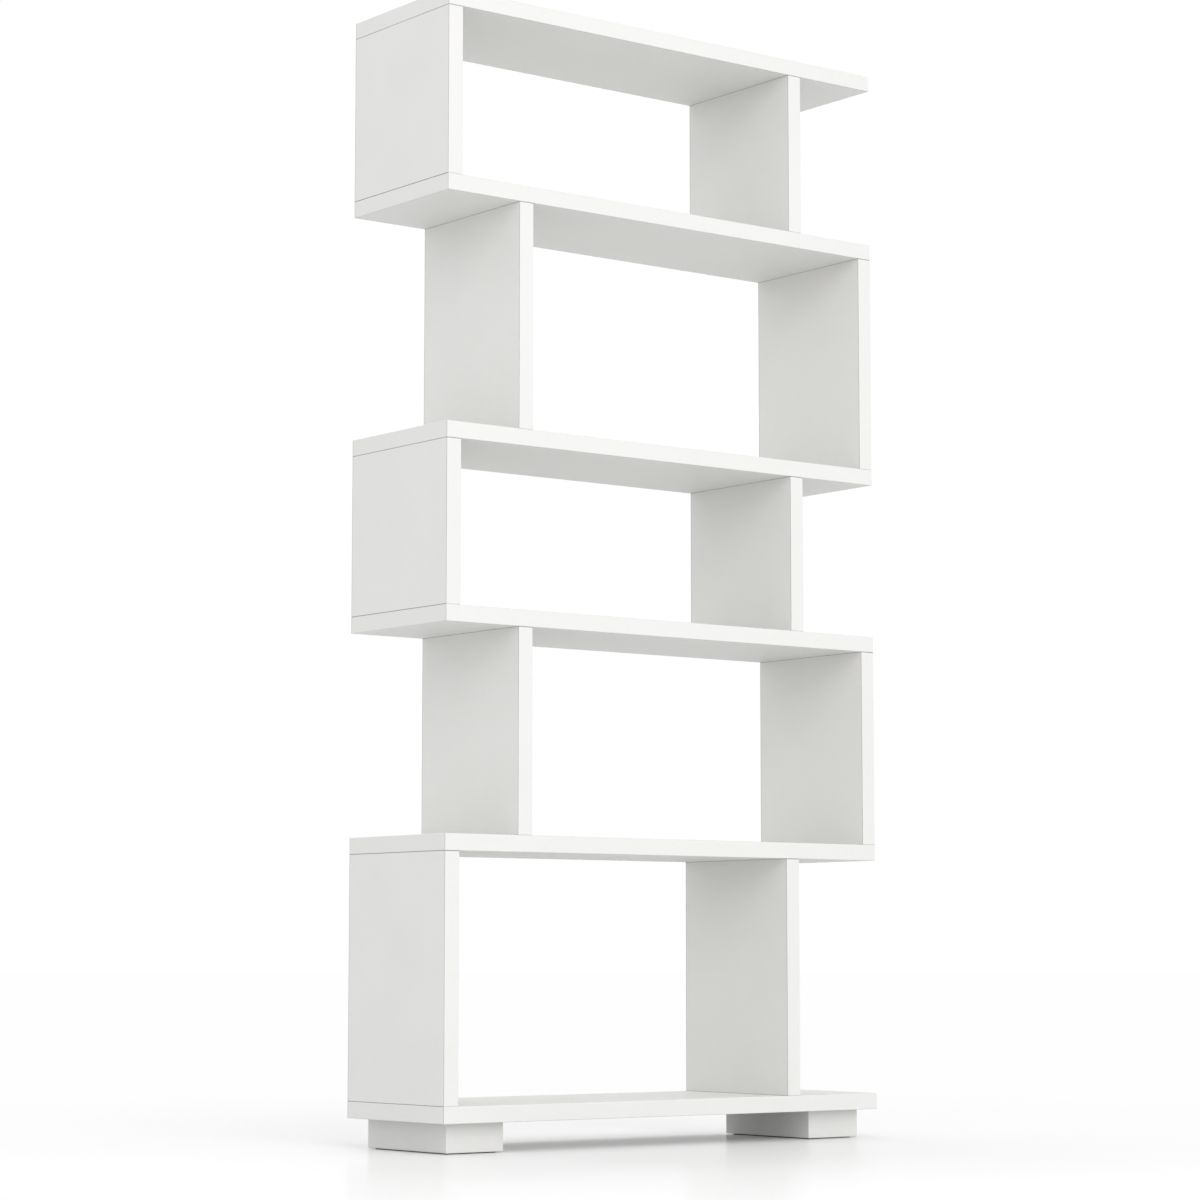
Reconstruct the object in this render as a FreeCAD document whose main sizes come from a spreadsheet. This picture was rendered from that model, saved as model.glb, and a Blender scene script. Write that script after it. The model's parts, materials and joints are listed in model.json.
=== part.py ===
"""Zigzag bookshelf: six shelves on ten uprights that step left and right from tier to tier.

Every board is particle board with a melamine face and plastic edge bands. Cam locks and dowels
join the uprights to the shelves, and two screwed-on block feet with felt pads carry the lot.
X runs along the shelves, Y from the front to the back, Z up. The origin is on the floor, under
the middle of the shelves.
"""
import FreeCAD, Part
import math
import os
import Sketcher

# Driving sizes in millimetres, each written once.
SIZES = {
    # Boards: six shelves of one size, and uprights as deep as the shelves.
    "shelf_length": 600,
    "shelf_depth": 180,
    "board_thickness": 18,
    # Clear heights between the shelves, from the floor up.
    "tier_1_clear": 263,
    "tier_2_clear": 221,
    "tier_3_clear": 176,
    "tier_4_clear": 247,
    "tier_5_clear": 183,
    # How far the set-in uprights stand from the ends of the shelves.
    "left_step": 94,
    "right_step": 106,
    "bottom_right_step": 115,
    # Plastic bands on the edges that show, with their outer edges eased.
    "band_thickness": 1,
    "band_easing": 0.8,
    # Block feet, and the felt pads under them.
    "foot_width": 73,
    "foot_depth": 145,
    "foot_height": 31,
    "foot_inset": 15,
    "foot_easing": 1,
    "felt_thickness": 1,
    "felt_margin": 5,
    "felt_corner": 4,
    # Countersunk screws, driven up through the feet.
    "screw_diameter": 4,
    "screw_head": 8,
    "screw_sink": 1,
    "screw_bite": 10,
    "screw_tip": 4,
    "screw_from_end": 25,
    # Cam locks, in the right-hand faces of the uprights.
    "cam_bore": 15,
    "cam_past_bolt": 4.5,
    "cam_setback": 24,
    "cam_from_edge": 40,
    "cam_slack": 0.4,
    "cap_thickness": 1,
    "cap_easing": 0.3,
    "cap_stem": 1.4,
    "cap_stem_length": 1.5,
    # Bolts of the cam locks, screwed into the faces of the shelves.
    "bolt_bore": 8,
    "bolt_thread": 6,
    "bolt_thread_length": 11,
    "bolt_shank": 6.8,
    "bolt_neck": 4,
    "bolt_head": 7,
    "bolt_head_length": 3,
    "bolt_chamfer": 0.8,
    # Cross recesses in the cams and the screws.
    "recess_span": 6,
    "recess_width": 1.6,
    "recess_depth": 2.5,
    # Wooden dowels.
    "dowel_diameter": 8,
    "dowel_length": 30,
    "dowel_in_shelf": 11,
    "dowel_chamfer": 1,
    # Room round a piece in its hole, and past the end of a piece in a blind hole.
    "fit_clearance": 0.1,
    "end_room": 1,
}

# Angles in degrees, the share of a band's thickness that its easing may take, the least volume in
# cubic millimetres that counts as a cut, and how far two directions may differ and still be parallel.
QUARTER_TURN = 90
FULL_TURN = 360
COUNTERSINK_ANGLE = 90
EASING_SHARE = 0.9
LEAST_CUT = 1
PARALLEL = 1e-6

# The shelves from the floor up, and the uprights with the size that sets each in from its end.
SHELVES = ["bottom_shelf", "shelf_2", "shelf_3", "shelf_4", "shelf_5", "top_shelf"]
STEPS = {
    1: {"left": None, "right": "bottom_right_step"},
    2: {"left": "left_step", "right": None},
    3: {"left": None, "right": "right_step"},
    4: {"left": "left_step", "right": None},
    5: {"left": None, "right": "right_step"},
}

# The directions that the boards lie in.
ACROSS = FreeCAD.Vector(1, 0, 0)
ALONG = FreeCAD.Vector(0, 1, 0)
UP = FreeCAD.Vector(0, 0, 1)

# Expressions that several pieces share.
CORE_LENGTH = "dims.shelf_length - 2 * dims.band_thickness"
CORE_DEPTH = "dims.shelf_depth - 2 * dims.band_thickness"
CAM_ROW = "dims.shelf_depth / 2 - dims.cam_from_edge"
CAM_FACE = "dims.board_thickness / 2 - dims.cap_thickness"
CAM_BORE_DEPTH = "dims.board_thickness / 2 + dims.cam_past_bolt"
FOOT_ROW = "dims.shelf_length / 2 - dims.foot_inset - dims.foot_width / 2"
SCREW_ROW = "dims.foot_depth / 2 - dims.screw_from_end"
SCREW_HOLE = "dims.screw_diameter + 2 * dims.fit_clearance"
LEFT_END = "-dims.shelf_length / 2 + dims.board_thickness / 2"
RIGHT_END = "dims.shelf_length / 2 - dims.board_thickness / 2"

doc = FreeCAD.newDocument("zigzag_bookshelf")
sheet = doc.addObject("Spreadsheet::Sheet", "dims")
for row, (alias, size) in enumerate(SIZES.items(), start=1):
    sheet.set(f"A{row}", alias)
    sheet.set(f"B{row}", str(size))
    sheet.setAlias(f"B{row}", alias)
doc.recompute()

nodes = []


# Small steps that every piece is made with.

def value(expression):
    """What an expression on the sizes comes to."""
    return float(sheet.evalExpression(expression))


def minus(expression):
    return f"-({expression})"


def both(expression):
    """The same distance on either side of the middle."""
    return [minus(expression), expression]


def origin(body, role):
    """One of a body's own origin planes or axes."""
    return next(item for item in body.Origin.OriginFeatures if item.Role == role)


def new_body(name, node=True):
    body = doc.addObject("PartDesign::Body", name)
    body.Label = name
    if node:
        nodes.append(body)
    return body


def place(body, across="0", along="0", up="0"):
    """Bind where a body stands."""
    body.setExpression(".Placement.Base.x", across)
    body.setExpression(".Placement.Base.y", along)
    body.setExpression(".Placement.Base.z", up)


def sketch_on(body, name, role, **shift):
    """A sketch on an origin plane, shifted along the sketch's own x, y and z."""
    sketch = body.newObject("Sketcher::SketchObject", f"{body.Name}_{name}_sketch")
    sketch.AttachmentSupport = (origin(body, role), [""])
    sketch.MapMode = "FlatFace"
    for axis, distance in shift.items():
        sketch.setExpression(f".AttachmentOffset.Base.{axis}", distance)
    return sketch


def bind(sketch, kind, *where, to):
    """Add a dimension to a sketch and bind it to an expression."""
    index = sketch.addConstraint(Sketcher.Constraint(kind, *where, value(to)))
    sketch.setExpression(f"Constraints[{index}]", to)


def draw_outline(sketch, corners):
    """A closed outline of straight edges, each corner bound to its place."""
    points = [FreeCAD.Vector(value(x), value(y), 0) for x, y in corners]
    for index, point in enumerate(points):
        sketch.addGeometry(Part.LineSegment(point, points[(index + 1) % len(points)]), False)
    for index, (x, y) in enumerate(corners):
        following = (index + 1) % len(corners)
        sketch.addConstraint(Sketcher.Constraint("Coincident", index, 2, following, 1))
        bind(sketch, "DistanceX", -1, 1, index, 1, to=x)
        bind(sketch, "DistanceY", -1, 1, index, 1, to=y)
    return sketch


def draw_rectangle(sketch, width, height):
    """A rectangle about the sketch's origin."""
    left, right = both(f"({width}) / 2")
    low, high = both(f"({height}) / 2")
    return draw_outline(sketch, [(left, low), (right, low), (right, high), (left, high)])


def draw_cross(sketch):
    """The outline of a cross recess about the sketch's origin."""
    out = ["dims.recess_span / 2", "-dims.recess_span / 2"]
    half = ["dims.recess_width / 2", "-dims.recess_width / 2"]
    corners = []
    for x, y in ((0, 0), (0, 1), (1, 1), (1, 0)):
        arm = [(half[x], out[y]), (half[x], half[y]), (out[x], half[y])]
        corners += arm if x == y else arm[::-1]
    return draw_outline(sketch, corners)


def draw_circles(sketch, centres, diameter):
    """Circles of one diameter, each bound to its place."""
    for x, y in centres:
        centre = FreeCAD.Vector(value(x), value(y), 0)
        circle = Part.Circle(centre, UP, value(diameter) / 2)
        index = sketch.addGeometry(circle, False)
        bind(sketch, "Diameter", index, to=diameter)
        bind(sketch, "DistanceX", -1, 1, index, 3, to=x)
        bind(sketch, "DistanceY", -1, 1, index, 3, to=y)
    return sketch


def pad(body, name, sketch, length):
    feature = body.newObject("PartDesign::Pad", f"{body.Name}_{name}")
    feature.Profile = sketch
    feature.setExpression("Length", length)
    doc.recompute()
    return feature


def turn(body, name, sketch, axis):
    """A solid turned about one of its sketch's own axes."""
    feature = body.newObject("PartDesign::Revolution", f"{body.Name}_{name}")
    feature.Profile = sketch
    feature.ReferenceAxis = (sketch, [axis])
    feature.Angle = FULL_TURN
    doc.recompute()
    return feature


def cut(body, feature, sketch):
    """Finish a cut and make sure that it took something away."""
    before = body.Shape.Volume
    feature.Profile = sketch
    doc.recompute()
    if body.Shape.Volume > before - LEAST_CUT:
        raise RuntimeError(f"{feature.Name} cuts nothing")


def pocket(body, name, sketch, depth, forward=False, midplane=False):
    """A straight cut, against its sketch's normal, along it, or half each way."""
    feature = body.newObject("PartDesign::Pocket", f"{body.Name}_{name}")
    feature.setExpression("Length", depth)
    feature.Reversed = forward
    feature.Midplane = midplane
    cut(body, feature, sketch)


def ease(body, name, base, edges, radius):
    """Round off some of a feature's edges, given by their numbers."""
    feature = body.newObject("PartDesign::Fillet", f"{body.Name}_{name}")
    feature.Base = (base, [f"Edge{number}" for number in edges])
    feature.setExpression("Radius", radius)
    doc.recompute()
    return feature


def straight_edges(shape, wanted):
    """Numbers of the straight edges whose direction and middle pass a test."""
    chosen = []
    for number, edge in enumerate(shape.Edges, start=1):
        if edge.Curve.TypeId == "Part::GeomLine" and wanted(edge.Curve.Direction, edge.CenterOfMass):
            chosen.append(number)
    return chosen


def repeat(body, mirrors, across=None):
    """Repeat a whole body by mirroring it in its origin planes and by one step along X."""
    feature = body.newObject("PartDesign::MultiTransform", f"{body.Name}_set")
    feature.TransformMode = "Whole shape"
    steps = []
    for role in mirrors:
        mirror = body.newObject("PartDesign::Mirrored", f"{body.Name}_{role}_mirror")
        mirror.MirrorPlane = (origin(body, role), [""])
        steps.append(mirror)
    if across:
        pair = body.newObject("PartDesign::LinearPattern", f"{body.Name}_pair")
        pair.Direction = (origin(body, "X_Axis"), [""])
        pair.Occurrences = 2
        pair.setExpression("Length", across)
        steps.append(pair)
    feature.Transformations = steps
    body.Tip = feature
    doc.recompute()
    if len(body.Shape.Solids) != 2 ** len(steps):
        raise RuntimeError(f"{body.Label} has {len(body.Shape.Solids)} solids")


# Where the boards stand.

def shelf_level(number):
    """Height of a shelf's underside above the floor, the bottom shelf being number 1."""
    terms = ["dims.felt_thickness", "dims.foot_height"]
    for tier in range(1, number):
        terms += ["dims.board_thickness", f"dims.tier_{tier}_clear"]
    return " + ".join(terms)


def tier_floor(tier):
    """Height of the shelf face that a tier's uprights stand on."""
    return f"{shelf_level(tier)} + dims.board_thickness"


def upright_place(tier, side):
    """Where an upright's middle stands along X."""
    end = LEFT_END if side == "left" else RIGHT_END
    step = STEPS[tier][side]
    if step is None:
        return end
    return f"{end} + dims.{step}" if side == "left" else f"{end} - dims.{step}"


# The boards.

def drill_shelf(body, tier, level, forward):
    """Holes in one face of a shelf for the bolts and dowels of the uprights that meet it."""
    uprights = [upright_place(tier, side) for side in ("left", "right")]
    bolts = sketch_on(body, f"tier_{tier}_bolts", "XY_Plane", z=level)
    draw_circles(bolts, [(x, y) for x in uprights for y in both(CAM_ROW)],
                 "dims.bolt_thread + 2 * dims.fit_clearance")
    pocket(body, f"tier_{tier}_bolt_holes", bolts, "dims.bolt_thread_length + dims.end_room", forward)
    dowels = sketch_on(body, f"tier_{tier}_dowels", "XY_Plane", z=level)
    draw_circles(dowels, [(x, "0") for x in uprights], "dims.dowel_diameter + 2 * dims.fit_clearance")
    pocket(body, f"tier_{tier}_dowel_holes", dowels, "dims.dowel_in_shelf + dims.end_room", forward)


def make_shelf(number):
    body = new_body(SHELVES[number - 1])
    outline = draw_rectangle(sketch_on(body, "outline", "XY_Plane"), CORE_LENGTH, CORE_DEPTH)
    pad(body, "core", outline, "dims.board_thickness")
    if number > 1:
        drill_shelf(body, number - 1, "0", forward=True)
    if number < len(SHELVES):
        drill_shelf(body, number, "dims.board_thickness", forward=False)
    if number == 1:
        screws = sketch_on(body, "foot_screws", "XY_Plane")
        draw_circles(screws, [(x, y) for x in both(FOOT_ROW) for y in both(SCREW_ROW)], SCREW_HOLE)
        pocket(body, "foot_screw_holes", screws, "dims.screw_bite + dims.end_room", forward=True)
    place(body, up=shelf_level(number))


def make_upright(tier, side):
    """An upright, bored at both ends for its bolts and dowels and in its right face for its cams."""
    body = new_body(f"tier_{tier}_{side}_upright")
    height = f"dims.tier_{tier}_clear"
    outline = draw_rectangle(sketch_on(body, "outline", "XY_Plane"), "dims.board_thickness", CORE_DEPTH)
    pad(body, "core", outline, height)
    rows = both(CAM_ROW)
    ends = ["dims.cam_setback", f"{height} - dims.cam_setback"]
    cams = sketch_on(body, "cams", "YZ_Plane", z="dims.board_thickness / 2")
    draw_circles(cams, [(y, z) for y in rows for z in ends], "dims.cam_bore")
    pocket(body, "cam_bores", cams, CAM_BORE_DEPTH)
    for end, level, forward in (("bottom", "0", True), ("top", height, False)):
        bolts = sketch_on(body, f"{end}_bolts", "XY_Plane", z=level)
        draw_circles(bolts, [("0", y) for y in rows], "dims.bolt_bore")
        pocket(body, f"{end}_bolt_bores", bolts, "dims.cam_setback", forward)
        dowel = sketch_on(body, f"{end}_dowel", "XY_Plane", z=level)
        draw_circles(dowel, [("0", "0")], "dims.dowel_diameter + 2 * dims.fit_clearance")
        depth = "dims.dowel_length - dims.dowel_in_shelf + dims.end_room"
        pocket(body, f"{end}_dowel_hole", dowel, depth, forward)
    place(body, upright_place(tier, side), up=tier_floor(tier))


# The edge bands.

def make_strip(name, size, outward, eased, where):
    """One strip of edge band, with the edges of its outer face that run in some directions eased."""
    body = new_body(name, node=False)
    width, depth, height = size
    outline = draw_rectangle(sketch_on(body, "outline", "XY_Plane"), width, depth)
    strip = pad(body, "strip", outline, height)
    outer = max(face.CenterOfMass.dot(outward) for face in strip.Shape.Faces)

    def on_outer_face(direction, middle):
        level = math.isclose(middle.dot(outward), outer)
        return level and any(direction.isParallel(axis, PARALLEL) for axis in eased)

    edges = straight_edges(strip.Shape, on_outer_face)
    ease(body, "easing", strip, edges, f"min(dims.band_easing; {EASING_SHARE} * dims.band_thickness)")
    place(body, *where)
    return body


def join_strips(board, strips):
    """The bands of one board, as a set of separate strips."""
    bands = doc.addObject("Part::Compound", f"{board}_edge_bands")
    bands.Label = f"{board}_edge_bands"
    bands.Links = strips
    nodes.append(bands)


def make_shelf_bands(number):
    """Long strips on the front and back edges, and short ones between them on the ends."""
    board = SHELVES[number - 1]
    level = shelf_level(number)
    long_size = ("dims.shelf_length", "dims.band_thickness", "dims.board_thickness")
    short_size = ("dims.band_thickness", CORE_DEPTH, "dims.board_thickness")
    strips = []
    for name, sign in (("front", "-"), ("back", "")):
        where = ("0", f"{sign}(dims.shelf_depth - dims.band_thickness) / 2", level)
        outward = -ALONG if sign else ALONG
        strips.append(make_strip(f"{board}_{name}_band", long_size, outward, [ACROSS, UP], where))
    for name, sign in (("left", "-"), ("right", "")):
        where = (f"{sign}(dims.shelf_length - dims.band_thickness) / 2", "0", level)
        outward = -ACROSS if sign else ACROSS
        strips.append(make_strip(f"{board}_{name}_band", short_size, outward, [ALONG], where))
    join_strips(board, strips)


def make_upright_bands(tier, side):
    """Strips on the front and back edges of an upright."""
    board = f"tier_{tier}_{side}_upright"
    size = ("dims.board_thickness", "dims.band_thickness", f"dims.tier_{tier}_clear")
    strips = []
    for name, sign in (("front", "-"), ("back", "")):
        along = f"{sign}(dims.shelf_depth - dims.band_thickness) / 2"
        where = (upright_place(tier, side), along, tier_floor(tier))
        outward = -ALONG if sign else ALONG
        strips.append(make_strip(f"{board}_{name}_band", size, outward, [ACROSS, UP], where))
    join_strips(board, strips)


# The fittings. Each set stands at the left upright's middle, half way up its tier. The lower front
# one is made first and then repeated upwards, backwards and across to the right upright.

def tier_body(tier, name):
    body = new_body(f"tier_{tier}_{name}")
    middle = f"{tier_floor(tier)} + dims.tier_{tier}_clear / 2"
    place(body, upright_place(tier, "left"), up=middle)
    return body


def upright_spacing(tier):
    return f"{upright_place(tier, 'right')} - ({upright_place(tier, 'left')})"


def make_dowels(tier):
    """Chamfered dowels, part in the shelf and part in the upright."""
    body = tier_body(tier, "dowels")
    section = sketch_on(body, "section", "XZ_Plane", y=f"-dims.tier_{tier}_clear / 2")
    radius = "dims.dowel_diameter / 2"
    low = "-dims.dowel_in_shelf"
    high = "dims.dowel_length - dims.dowel_in_shelf"
    draw_outline(section, [
        ("0", low),
        (f"{radius} - dims.dowel_chamfer", low),
        (radius, f"{low} + dims.dowel_chamfer"),
        (radius, f"{high} - dims.dowel_chamfer"),
        (f"{radius} - dims.dowel_chamfer", high),
        ("0", high),
    ])
    turn(body, "dowel", section, "V_Axis")
    repeat(body, ["XY_Plane"], upright_spacing(tier))


def make_cam_bolts(tier):
    """Bolts whose shoulder sits on the shelf and whose head stands on the axis of its cam."""
    body = tier_body(tier, "cam_bolts")
    section = sketch_on(body, "section", "XZ_Plane", y=f"-dims.tier_{tier}_clear / 2", z=CAM_ROW)
    thread = "dims.bolt_thread / 2"
    tip = "-dims.bolt_thread_length"
    neck_start = "dims.cam_setback - dims.cam_bore / 2 - dims.end_room"
    head_start = "dims.cam_setback - dims.bolt_head_length / 2"
    head_end = "dims.cam_setback + dims.bolt_head_length / 2"
    draw_outline(section, [
        ("0", tip),
        (f"{thread} - dims.bolt_chamfer", tip),
        (thread, f"{tip} + dims.bolt_chamfer"),
        (thread, "0"),
        ("dims.bolt_shank / 2", "0"),
        ("dims.bolt_shank / 2", neck_start),
        ("dims.bolt_neck / 2", neck_start),
        ("dims.bolt_neck / 2", head_start),
        ("dims.bolt_head / 2", head_start),
        ("dims.bolt_head / 2", head_end),
        ("0", head_end),
    ])
    turn(body, "bolt", section, "V_Axis")
    repeat(body, ["XY_Plane", "XZ_Plane"], upright_spacing(tier))


def make_cam_locks(tier):
    """Round cams with a chamber for the bolt's head, a way in for it, and a track for its neck."""
    body = tier_body(tier, "cam_locks")
    height = f"dims.cam_setback - dims.tier_{tier}_clear / 2"
    row = minus(CAM_ROW)
    head = "dims.bolt_head + 2 * dims.cam_slack"
    neck = "dims.bolt_neck + 2 * dims.cam_slack"
    reach = "dims.cam_bore / 2"
    centre = [("0", "0")]
    disc = sketch_on(body, "disc", "YZ_Plane", x=row, y=height, z="-dims.cam_past_bolt")
    draw_circles(disc, centre, "dims.cam_bore - 2 * dims.fit_clearance")
    pad(body, "cam", disc, f"{CAM_FACE} + dims.cam_past_bolt")
    chamber = draw_circles(sketch_on(body, "chamber", "XY_Plane", y=row, z=height), centre, head)
    pocket(body, "head_chamber", chamber, "dims.bolt_head_length + 2 * dims.cam_slack", midplane=True)
    slot = draw_circles(sketch_on(body, "slot", "XY_Plane", y=row, z=height), centre, neck)
    pocket(body, "neck_slot", slot, reach)
    entry = draw_circles(sketch_on(body, "entry", "XZ_Plane", y=height, z=CAM_ROW), centre, head)
    pocket(body, "head_entry", entry, reach)
    track = sketch_on(body, "track", "XY_Plane", y=row, z=height)
    left, right = both(f"({neck}) / 2")
    draw_outline(track, [(left, "0"), (right, "0"), (right, reach), (left, reach)])
    groove = body.newObject("PartDesign::Groove", f"{body.Name}_neck_track")
    groove.ReferenceAxis = (track, ["H_Axis"])
    groove.Angle = QUARTER_TURN
    groove.Reversed = True
    cut(body, groove, track)
    recess = draw_cross(sketch_on(body, "recess", "YZ_Plane", x=row, y=height, z=CAM_FACE))
    pocket(body, "driver_recess", recess, "dims.recess_depth")
    repeat(body, ["XY_Plane", "XZ_Plane"], upright_spacing(tier))


def make_cam_caps(tier):
    """Caps that fill the mouths of the cam bores, flush with the board, each on a small stem."""
    body = tier_body(tier, "cam_caps")
    height = f"dims.cam_setback - dims.tier_{tier}_clear / 2"
    face = "dims.board_thickness / 2"
    section = sketch_on(body, "section", "XY_Plane", x=face, y=minus(CAM_ROW), z=height)
    rim = "dims.cam_bore / 2 - dims.fit_clearance"
    stem_end = "-dims.cap_thickness - dims.cap_stem_length"
    draw_outline(section, [
        ("0", "0"),
        ("0", f"{rim} - dims.cap_easing"),
        ("-dims.cap_easing", rim),
        ("-dims.cap_thickness", rim),
        ("-dims.cap_thickness", "dims.cap_stem / 2"),
        (stem_end, "dims.cap_stem / 2"),
        (stem_end, "0"),
    ])
    turn(body, "cap", section, "H_Axis")
    repeat(body, ["XY_Plane", "XZ_Plane"], upright_spacing(tier))


# The feet.

def make_foot(side, across):
    """A block with its outer edges eased and two countersunk holes from below."""
    body = new_body(f"{side}_foot")
    outline = draw_rectangle(sketch_on(body, "outline", "XY_Plane"), "dims.foot_width", "dims.foot_depth")
    pad(body, "block", outline, "dims.foot_height")
    centres = sketch_on(body, "screws", "XY_Plane")
    draw_circles(centres, [("0", y) for y in both(SCREW_ROW)], SCREW_HOLE)
    hole = body.newObject("PartDesign::Hole", f"{body.Name}_screw_holes")
    hole.DepthType = "ThroughAll"
    hole.Reversed = True
    hole.setExpression("Diameter", SCREW_HOLE)
    hole.HoleCutType = "Countersink"
    hole.HoleCutCustomValues = True
    hole.HoleCutCountersinkAngle = COUNTERSINK_ANGLE
    hole.setExpression("HoleCutDiameter", "dims.screw_head + 2 * dims.screw_sink + 2 * dims.fit_clearance")
    cut(body, hole, centres)
    top = value("dims.foot_height")
    edges = straight_edges(hole.Shape, lambda direction, middle: not math.isclose(middle.z, top))
    ease(body, "easing", hole, edges, "dims.foot_easing")
    place(body, across, up="dims.felt_thickness")


def make_foot_pad(side, across):
    """A felt pad with round corners, a little smaller than its foot."""
    body = new_body(f"{side}_foot_pad")
    width = "dims.foot_width - 2 * dims.felt_margin"
    depth = "dims.foot_depth - 2 * dims.felt_margin"
    felt = pad(body, "felt", draw_rectangle(sketch_on(body, "outline", "XY_Plane"), width, depth),
               "dims.felt_thickness")
    corners = straight_edges(felt.Shape, lambda direction, middle: direction.isParallel(UP, PARALLEL))
    ease(body, "corners", felt, corners, "dims.felt_corner")
    place(body, across)


def make_foot_screws():
    """Countersunk screws with a cross recess, from below each foot into the bottom shelf."""
    body = new_body("foot_screws")
    head_level = "dims.felt_thickness + dims.screw_sink"
    section = sketch_on(body, "section", "XZ_Plane", x=minus(FOOT_ROW), y=head_level, z=SCREW_ROW)
    shank = "dims.screw_diameter / 2"
    length = "dims.foot_height - dims.screw_sink + dims.screw_bite"
    draw_outline(section, [
        ("0", "0"),
        ("dims.screw_head / 2", "0"),
        (shank, f"dims.screw_head / 2 - {shank}"),
        (shank, f"{length} - dims.screw_tip"),
        ("dims.fit_clearance", length),
        ("0", length),
    ])
    turn(body, "screw", section, "V_Axis")
    recess = sketch_on(body, "recess", "XY_Plane", x=minus(FOOT_ROW), y=minus(SCREW_ROW), z=head_level)
    pocket(body, "driver_recess", draw_cross(recess), "dims.recess_depth", forward=True)
    repeat(body, ["XZ_Plane", "YZ_Plane"])


for number in range(1, len(SHELVES) + 1):
    make_shelf(number)
    make_shelf_bands(number)
for tier, steps in STEPS.items():
    for side in steps:
        make_upright(tier, side)
        make_upright_bands(tier, side)
    make_dowels(tier)
    make_cam_bolts(tier)
    make_cam_locks(tier)
    make_cam_caps(tier)
for side, across in (("left", minus(FOOT_ROW)), ("right", FOOT_ROW)):
    make_foot(side, across)
    make_foot_pad(side, across)
make_foot_screws()
doc.recompute()

for item in doc.Objects:
    if {"Invalid", "Error"} & set(item.State):
        raise RuntimeError(f"{item.Label} failed: {item.State}")
for node in nodes:
    if node.Shape.isNull() or not node.Shape.isValid():
        raise RuntimeError(f"{node.Label} has no valid shape")
os.makedirs("parts", exist_ok=True)
for node in nodes:
    node.Shape.exportStep(f"parts/{node.Label}.step")
print(f"{len(nodes)} sub-parts written")
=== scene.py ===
"""Zigzag bookshelf: finishes of its boards, turned and moulded fittings, felt pads and a plain studio."""
import json
import math
from functools import reduce

import bmesh
import bpy
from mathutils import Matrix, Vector


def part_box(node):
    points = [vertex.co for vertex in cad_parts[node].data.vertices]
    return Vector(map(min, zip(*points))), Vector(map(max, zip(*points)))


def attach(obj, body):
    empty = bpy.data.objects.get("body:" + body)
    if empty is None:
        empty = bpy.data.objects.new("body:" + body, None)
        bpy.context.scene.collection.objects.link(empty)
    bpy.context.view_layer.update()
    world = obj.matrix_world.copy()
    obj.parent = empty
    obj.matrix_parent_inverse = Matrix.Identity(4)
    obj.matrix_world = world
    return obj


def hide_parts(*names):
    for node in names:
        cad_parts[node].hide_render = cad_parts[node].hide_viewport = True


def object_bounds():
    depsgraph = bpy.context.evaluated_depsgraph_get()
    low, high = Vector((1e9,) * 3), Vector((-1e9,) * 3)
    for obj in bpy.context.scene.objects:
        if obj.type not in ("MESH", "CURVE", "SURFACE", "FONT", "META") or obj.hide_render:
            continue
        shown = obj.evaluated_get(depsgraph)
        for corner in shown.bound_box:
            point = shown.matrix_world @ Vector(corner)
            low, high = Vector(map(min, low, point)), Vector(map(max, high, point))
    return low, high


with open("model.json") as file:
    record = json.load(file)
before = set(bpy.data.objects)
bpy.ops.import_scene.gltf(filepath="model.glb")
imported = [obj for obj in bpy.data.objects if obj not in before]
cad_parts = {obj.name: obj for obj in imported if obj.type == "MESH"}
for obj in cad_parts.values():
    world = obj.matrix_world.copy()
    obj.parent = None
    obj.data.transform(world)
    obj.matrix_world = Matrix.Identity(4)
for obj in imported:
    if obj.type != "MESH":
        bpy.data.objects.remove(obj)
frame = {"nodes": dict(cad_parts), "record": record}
CAD_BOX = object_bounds()

bl_info = {
    "name": "Zigzag bookshelf",
    "version": (1, 0, 0),
    "blender": (4, 5, 0),
    "location": "3D View > Sidebar > Bookshelf",
    "description": "Dresses the boards of a zigzag bookshelf and models its fittings and felt pads",
    "category": "Add Mesh",
}

BODY = "root"
SCREWS = "foot_screws"
MM = 0.001
SQUARE_CENTIMETRE = 0.01 ** 2
TINY = 1e-9
JOIN_WITHIN = MM / 1000
MICRON_DIGITS = 6
QUARTER_TURN = math.pi / 2
HALF_TURN = math.pi
FULL_TURN = 2 * math.pi
SMOOTH_ANGLE = math.radians(35)
SENSOR_MM = 36
FLOOR_SIDES = 96

# A surface faces along an axis where its normal has more than this share along it
FACING = 0.5

# Noise swings round its middle, and most of it lies between the two ends of its clouds
NOISE_MIDDLE = 0.5
CLOUD_LOW, CLOUD_HIGH = 0.3, 0.7

# Sockets of a Mix node for two colours and their blend
FIRST_COLOUR, SECOND_COLOUR, BLEND = 6, 7, 2

# Facets of the turned pieces, and the share of its width that a cross recess keeps at its bottom
CAP_SIDES = 48
STEEL_SIDES = 24
SIDES_PER_FLUTE = 4
ROWS_PER_TURN = 6
RECESS_TAPER = 0.5

# Rows of a felt pad's mesh in its corners, cells to a waver of its edge,
# and the share of a normal along Z below which a face is on a cut side
CORNER_ROWS = 4
WAVER_CELLS = 3
CUT_SIDE = 0.7

# A loose fibre of length 1, bent at its end, the most that one leans, in radians, and the shortest
FIBRE_CURVE = {
    "Start": (0, 0, -0.1), "Start Handle": (0, 0, 0.4), "End Handle": (0.1, 0, 0.7), "End": (0.5, 0, 0.9)}
FIBRE_STEPS = 4
FIBRE_SIDES = 3
FIBRE_RADIUS = 0.02
FIBRE_LEAN = 0.7
SHORTEST_FIBRE = 0.4


# What a user would change

def colour(name, description, default):
    return bpy.props.FloatVectorProperty(
        name=name, description=description, default=default, subtype="COLOR", min=0, max=1)


def count(name, description, default):
    return bpy.props.IntProperty(name=name, description=description, default=default, min=0)


def number(name, description, default, **limits):
    return bpy.props.FloatProperty(name=name, description=description, default=default, **limits)


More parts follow.
